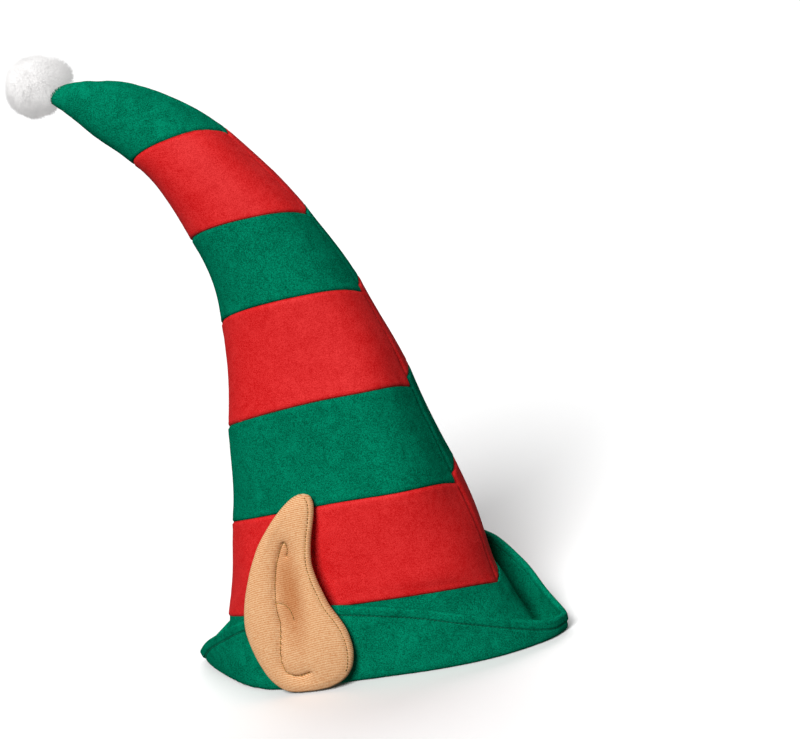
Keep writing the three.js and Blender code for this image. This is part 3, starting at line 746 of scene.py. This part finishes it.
def ear_faces(side, node):
    """Front and back faces of an ear, a function that gives places on its front face, and the
    lines of its three rows of stitches."""
    up = (1 - np.cos(np.linspace(0, math.pi, EAR_ROWS + 1))) / 2
    share = (1 - np.cos(np.linspace(0, math.pi, EAR_COLUMNS + 1))) / 2
    rear, front = ear_edges(up)
    across = rear[:, None] + (front - rear)[:, None] * share
    height = np.repeat(up[:, None] * EAR_LENGTH, EAR_COLUMNS + 1, axis=1)
    places = np.stack([across, height], axis=-1)
    outline = np.concatenate([places[:, 0], places[::-1, -1], places[:1, 0]])[::3]
    from_edge = nearest_distance(places, outline)
    quilt = smooth_through(QUILT_LINE)
    branch = smooth_through(QUILT_BRANCH)
    from_quilt = nearest_distance(places, quilt)
    from_branch = nearest_distance(places, branch)
    full = stuffing(places, quilt)
    ends = np.minimum(from_edge / EAR_EDGE, 1)
    rim = EAR_EDGE * np.sqrt(np.maximum(1 - (1 - ends) ** 2, 0))
    fullness = full * np.clip(from_edge / EAR_PAD_EASE, 0, 1) ** EAR_PAD_ROUNDING
    swell = rim + EAR_PAD * fullness
    recess = np.exp(-(((places - EAR_RECESS_PLACE) / EAR_RECESS_SPREAD) ** 2).sum(axis=-1))
    swell -= EAR_RECESS * recess * np.clip(from_edge / EAR_RECESS_EASE, 0, 1)
    swell -= QUILT_DEPTH * np.exp(-(from_quilt / QUILT_WIDTH) ** 2)
    swell -= BRANCH_DEPTH * np.exp(-(from_branch / BRANCH_WIDTH) ** 2)
    from_seam = front[:, None] - across - EDGE_SEAM_INSET
    seam_share = np.clip((up[:, None] - EDGE_SEAM_START) * 10, 0, 1)
    swell -= EDGE_SEAM_DEPTH * np.exp(-(from_seam / EDGE_SEAM_DEPTH) ** 2) * seam_share
    behind = rim + EAR_BACK_PAD * fullness
    bend = (-EAR_LEAN_IN * up[:, None] ** EAR_BOW - EAR_CUP * (2 * across / EAR_WIDTH) ** 2
            - EAR_TURN_IN * across)
    outermost = abs(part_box(node)[0 if side < 0 else 1].y)
    start = outermost - (bend + swell).max()

    def stand(depth):
        """The ear's places in the scene, this far out from its middle."""
        return np.stack([CROWN_X + EAR_CENTRE_X + across, side * (start + bend + depth),
                         EAR_FOOT_HEIGHT + places[..., 1]], axis=-1)

    face = stand(swell)

    def on_face(line):
        """Places on the front face under a line drawn across and up the ear."""
        height = np.clip(line[:, 1] / EAR_LENGTH, 0, 1)
        low, high = ear_edges(height)
        row = np.arccos(1 - 2 * height) / math.pi * EAR_ROWS
        share_across = (line[:, 0] - low) / (high - low)
        column = np.arccos(np.clip(1 - 2 * share_across, -1, 1)) / math.pi * EAR_COLUMNS
        return between(face, row, column)

    edge_seam = np.column_stack([front - EDGE_SEAM_INSET, up * EAR_LENGTH])
    return face, stand(-behind), on_face, (quilt, branch, edge_seam[EDGE_SEAM_ROWS])


for side, panel in [(-1, "near"), (1, "far")]:
    node = f"ear_{panel}"
    face, back, on_face, lines = ear_faces(side, node)
    ear = cloth_shell(f"{node}_knit", face, back, ear_knit)
    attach(ear, "root")
    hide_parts(node)
    for (name, step, length), line in zip(EAR_STITCHING, lines):
        centres = evenly(on_face(line), step)
        centres[:, 1] += side * EAR_THREAD_LIFT
        ways = np.gradient(centres, axis=0)
        row_name = f"{node}_{name}_stitches"
        row = thread_stitches(row_name, centres, ways, length, EAR_THREAD, brown_thread)
        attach(row, "root")


# Pompom
# A ball of white fur: fine curved hairs of uneven length stand all over a soft core. The ball is
# sewn to the felt tip, which goes into it.
FUR_CORE_SHARE = 0.8
HAIRS = 21000
HAIR_THICKNESS = 0.42 * MM
HAIR_POINTS = 7
POMPOM_AHEAD = 9.5 * MM
TIP_PARTING = 0.3
# Strength of the fur's painted glow.
FUR_PAINTED_GLOW = 0.43
FUR_WHITE = (0.56, 0.55, 0.545)
FUR_GLOW = (1, 0.99, 0.985)
FUR_ROUGHNESS = 0.9
FUR_GLOSS = 0.2
FUR_LUMPS = 0.03
FUR_LUMP_LENGTH = 0.6
PARTING_START = 0.45
PARTING_EASE = 0.35
HAIR_SCATTER = 0.02
HAIR_REACH = (0.93, 1.03)
HAIR_LEAN = (0.5 * MM, 3.4 * MM)
HAIR_BEND = 0.35
HAIR_ROOT_DEPTH = 2 * MM
SWIRL = 2.6 * MM
SWIRL_LENGTH = 0.9
SWIRL_SEEDS = (31, 32, 33)
# Each lobe of the ball: its place from the ball's centre, and its radius.
FUR_LOBES = [((-0.7 * MM, 0, 2.5 * MM), 23.7 * MM), ((15.5 * MM, 3 * MM, 7.5 * MM), 13.3 * MM)]
tip_x, tip_z, tip_tilt = crown_line(len(STRIPES))
pompom_centre = np.array([tip_x - math.sin(tip_tilt) * POMPOM_AHEAD, 0,
                          tip_z + math.cos(tip_tilt) * POMPOM_AHEAD])
to_tip = np.array([math.sin(tip_tilt) - 0.1, -0.85, -math.cos(tip_tilt) - 0.3])
to_tip /= np.linalg.norm(to_tip)


def fur_reach(way):
    """How far the fur's lobes reach from the middle of the ball along unit directions."""
    reach = np.zeros(len(way))
    for offset, radius in FUR_LOBES:
        along = way @ np.array(offset)
        inside = radius ** 2 - np.dot(offset, offset) + along ** 2
        reach = np.maximum(reach, along + np.sqrt(np.maximum(inside, 0)))
    reach *= 1 + FUR_LUMPS * ripples(way, FUR_LUMP_LENGTH, seed=9)
    parting = np.clip((way @ to_tip - PARTING_START) / PARTING_EASE, 0, 1)
    return reach * (1 - TIP_PARTING * parting)


def fur_finish():
    """White fur with a painted glow: a faint light of its own stands in for light passing through its
    hairs.
    """
    material = bpy.data.materials.new("white_fur")
    material.use_nodes = True
    surface = material.node_tree.nodes["Principled BSDF"]
    surface.inputs["Base Color"].default_value = (*FUR_WHITE, 1)
    surface.inputs["Roughness"].default_value = FUR_ROUGHNESS
    surface.inputs["Specular IOR Level"].default_value = FUR_GLOSS
    # Painted glow: the fur and its core give off a faint light of their own, standing in for light that
    # passes through the hairs, so the shaded side stays pale.
    surface.inputs["Emission Color"].default_value = (*FUR_GLOW, 1)
    surface.inputs["Emission Strength"].default_value = FUR_PAINTED_GLOW
    return material


def fur_ball(name, centre, material):
    """A lumpy ball with fine curved hairs all over it, each a closed three-sided strand."""
    rank = np.arange(HAIRS) + 0.5
    rise = 1 - 2 * rank / HAIRS
    turn = rank * math.pi * (3 - math.sqrt(5))
    flat = np.sqrt(1 - rise ** 2)
    way = np.column_stack([flat * np.cos(turn), flat * np.sin(turn), rise])
    chance = np.random.default_rng(4)
    way += chance.normal(scale=HAIR_SCATTER, size=way.shape)
    way /= np.linalg.norm(way, axis=-1, keepdims=True)
    full = fur_reach(way)
    reach = full * chance.uniform(*HAIR_REACH, HAIRS)
    lean = np.cross(way, chance.normal(size=way.shape))
    lean /= np.linalg.norm(lean, axis=-1, keepdims=True)
    lean *= chance.uniform(*HAIR_LEAN, HAIRS)[:, None]
    flow = np.column_stack([ripples(way, SWIRL_LENGTH, seed) for seed in SWIRL_SEEDS])
    lean += np.cross(way, flow) * SWIRL
    root = way * (full * FUR_CORE_SHARE - HAIR_ROOT_DEPTH)[:, None]
    middle = way * ((full * FUR_CORE_SHARE + reach) / 2)[:, None] + lean * HAIR_BEND
    end = way * reach[:, None] + lean
    aside = np.cross(way, lean)
    aside /= np.linalg.norm(aside, axis=-1, keepdims=True)
    above = np.cross(way, aside)
    points = []
    for place, girth in [(root, 0.5), (middle, 0.42)]:
        for k in range(3):
            angle = 2 * math.pi * k / 3
            corner = aside * math.cos(angle) + above * math.sin(angle)
            points.append(place + corner * HAIR_THICKNESS * girth)
    points.append(end)
    points = np.stack(points, axis=1).reshape(-1, 3)
    strand = [(0, 1, 4, 3), (1, 2, 5, 4), (2, 0, 3, 5), (3, 4, 6), (4, 5, 6), (5, 3, 6)]
    starts = range(0, HAIRS * HAIR_POINTS, HAIR_POINTS)
    faces = [tuple(start + k for k in face) for start in starts for face in strand]
    piece = new_piece(name, points + centre, faces, material)
    outward = np.repeat(way, HAIR_POINTS, axis=0)
    piece.data.normals_split_custom_set_from_vertices(outward.tolist())
    return piece


white_fur = fur_finish()
bpy.ops.mesh.primitive_ico_sphere_add(subdivisions=5, radius=1, location=(0, 0, 0))
core = bpy.context.object
core.name = "pompom_core"
places = np.array([vertex.co for vertex in core.data.vertices])
way = places / np.linalg.norm(places, axis=-1, keepdims=True)
places = way * (fur_reach(way) * FUR_CORE_SHARE)[:, None] + pompom_centre
core.data.vertices.foreach_set("co", places.ravel())
core.data.materials.append(white_fur)
core.data.shade_smooth()
fur = fur_ball("pompom_fur", pompom_centre, white_fur)
for piece in (core, fur):
    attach(piece, "root")
    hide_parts("pompom")


# Studio
# A plain pale floor, a broad soft light beside the camera, a weaker one behind the hat, and even
# light all round. The camera stands at the photograph's angle.
FLOOR_SIZE = 12.0
FLOOR_SHADE = 0.98
FLOOR_ROUGHNESS = 0.9
ROOM_LIGHT = 0.11
KEY_LIGHT = 3.45
KEY_LEFT = math.radians(21)
KEY_HEIGHT = math.radians(38)
KEY_SPREAD = math.radians(24)
BACK_LIGHT = 1.7
BACK_HEIGHT = math.radians(45)
BACK_SPREAD = math.radians(60)
YAW = math.radians(20)
ELEVATION = math.radians(15)
ROLL = math.radians(12)
LENS = 120
SENSOR = 36
PHOTO_WIDTH = 800
PHOTO_HEIGHT = 739
PIXEL = 0.76 * MM
FOOT_PIXEL = (380, 645)

floor_mesh = bpy.data.meshes.new("floor")
floor_mesh.from_pydata([(-FLOOR_SIZE, -FLOOR_SIZE, 0), (FLOOR_SIZE, -FLOOR_SIZE, 0),
                        (FLOOR_SIZE, FLOOR_SIZE, 0), (-FLOOR_SIZE, FLOOR_SIZE, 0)], [], [(0, 1, 2, 3)])
floor = bpy.data.objects.new("floor", floor_mesh)
floor.visible_diffuse = False
floor.visible_glossy = False
bpy.context.scene.collection.objects.link(floor)
paper = bpy.data.materials.new("paper")
paper.use_nodes = True
surface = paper.node_tree.nodes["Principled BSDF"]
surface.inputs["Base Color"].default_value = (FLOOR_SHADE, FLOOR_SHADE, FLOOR_SHADE, 1)
surface.inputs["Roughness"].default_value = FLOOR_ROUGHNESS
floor_mesh.materials.append(paper)

room = bpy.data.worlds.new("room")
bpy.context.scene.world = room
room.use_nodes = True
background = room.node_tree.nodes["Background"]
background.inputs["Color"].default_value = (1, 1, 1, 1)
background.inputs["Strength"].default_value = ROOM_LIGHT


def soft_light(name, turn, height, strength, spread, glossy=True):
    """A broad light at a turn left of the camera and a height above the floor."""
    data = bpy.data.lights.new(name, "SUN")
    data.energy = strength
    data.angle = spread
    lamp = bpy.data.objects.new(name, data)
    lamp.visible_glossy = glossy
    way = Vector((math.sin(YAW - turn) * math.cos(height), -math.cos(YAW - turn) * math.cos(height),
                  math.sin(height)))
    lamp.rotation_euler = way.to_track_quat("Z", "Y").to_euler()
    bpy.context.scene.collection.objects.link(lamp)


soft_light("key_light", KEY_LEFT, KEY_HEIGHT, KEY_LIGHT, KEY_SPREAD)
soft_light("back_light", math.pi, BACK_HEIGHT, BACK_LIGHT, BACK_SPREAD, glossy=False)

distance = LENS / SENSOR * PHOTO_WIDTH * PIXEL
forward = Vector((-math.sin(YAW) * math.cos(ELEVATION), math.cos(YAW) * math.cos(ELEVATION),
                  -math.sin(ELEVATION)))
level_right = Vector((math.cos(YAW), math.sin(YAW), 0))
level_up = level_right.cross(forward)
right = level_right * math.cos(ROLL) - level_up * math.sin(ROLL)
up = level_up * math.cos(ROLL) + level_right * math.sin(ROLL)
aim = (Vector((CROWN_X, 0, 0)) - right * (FOOT_PIXEL[0] - PHOTO_WIDTH / 2) * PIXEL
       + up * (FOOT_PIXEL[1] - PHOTO_HEIGHT / 2) * PIXEL)
camera_data = bpy.data.cameras.new("camera")
camera_data.lens = LENS
camera_data.sensor_width = SENSOR
camera = bpy.data.objects.new("camera", camera_data)
bpy.context.scene.collection.objects.link(camera)
camera.matrix_world = Matrix.Translation(aim - forward * distance) @ Matrix(
    (right, up, -forward)).transposed().to_4x4()
bpy.context.scene.camera = camera
bpy.context.scene.view_settings.view_transform = "Standard"
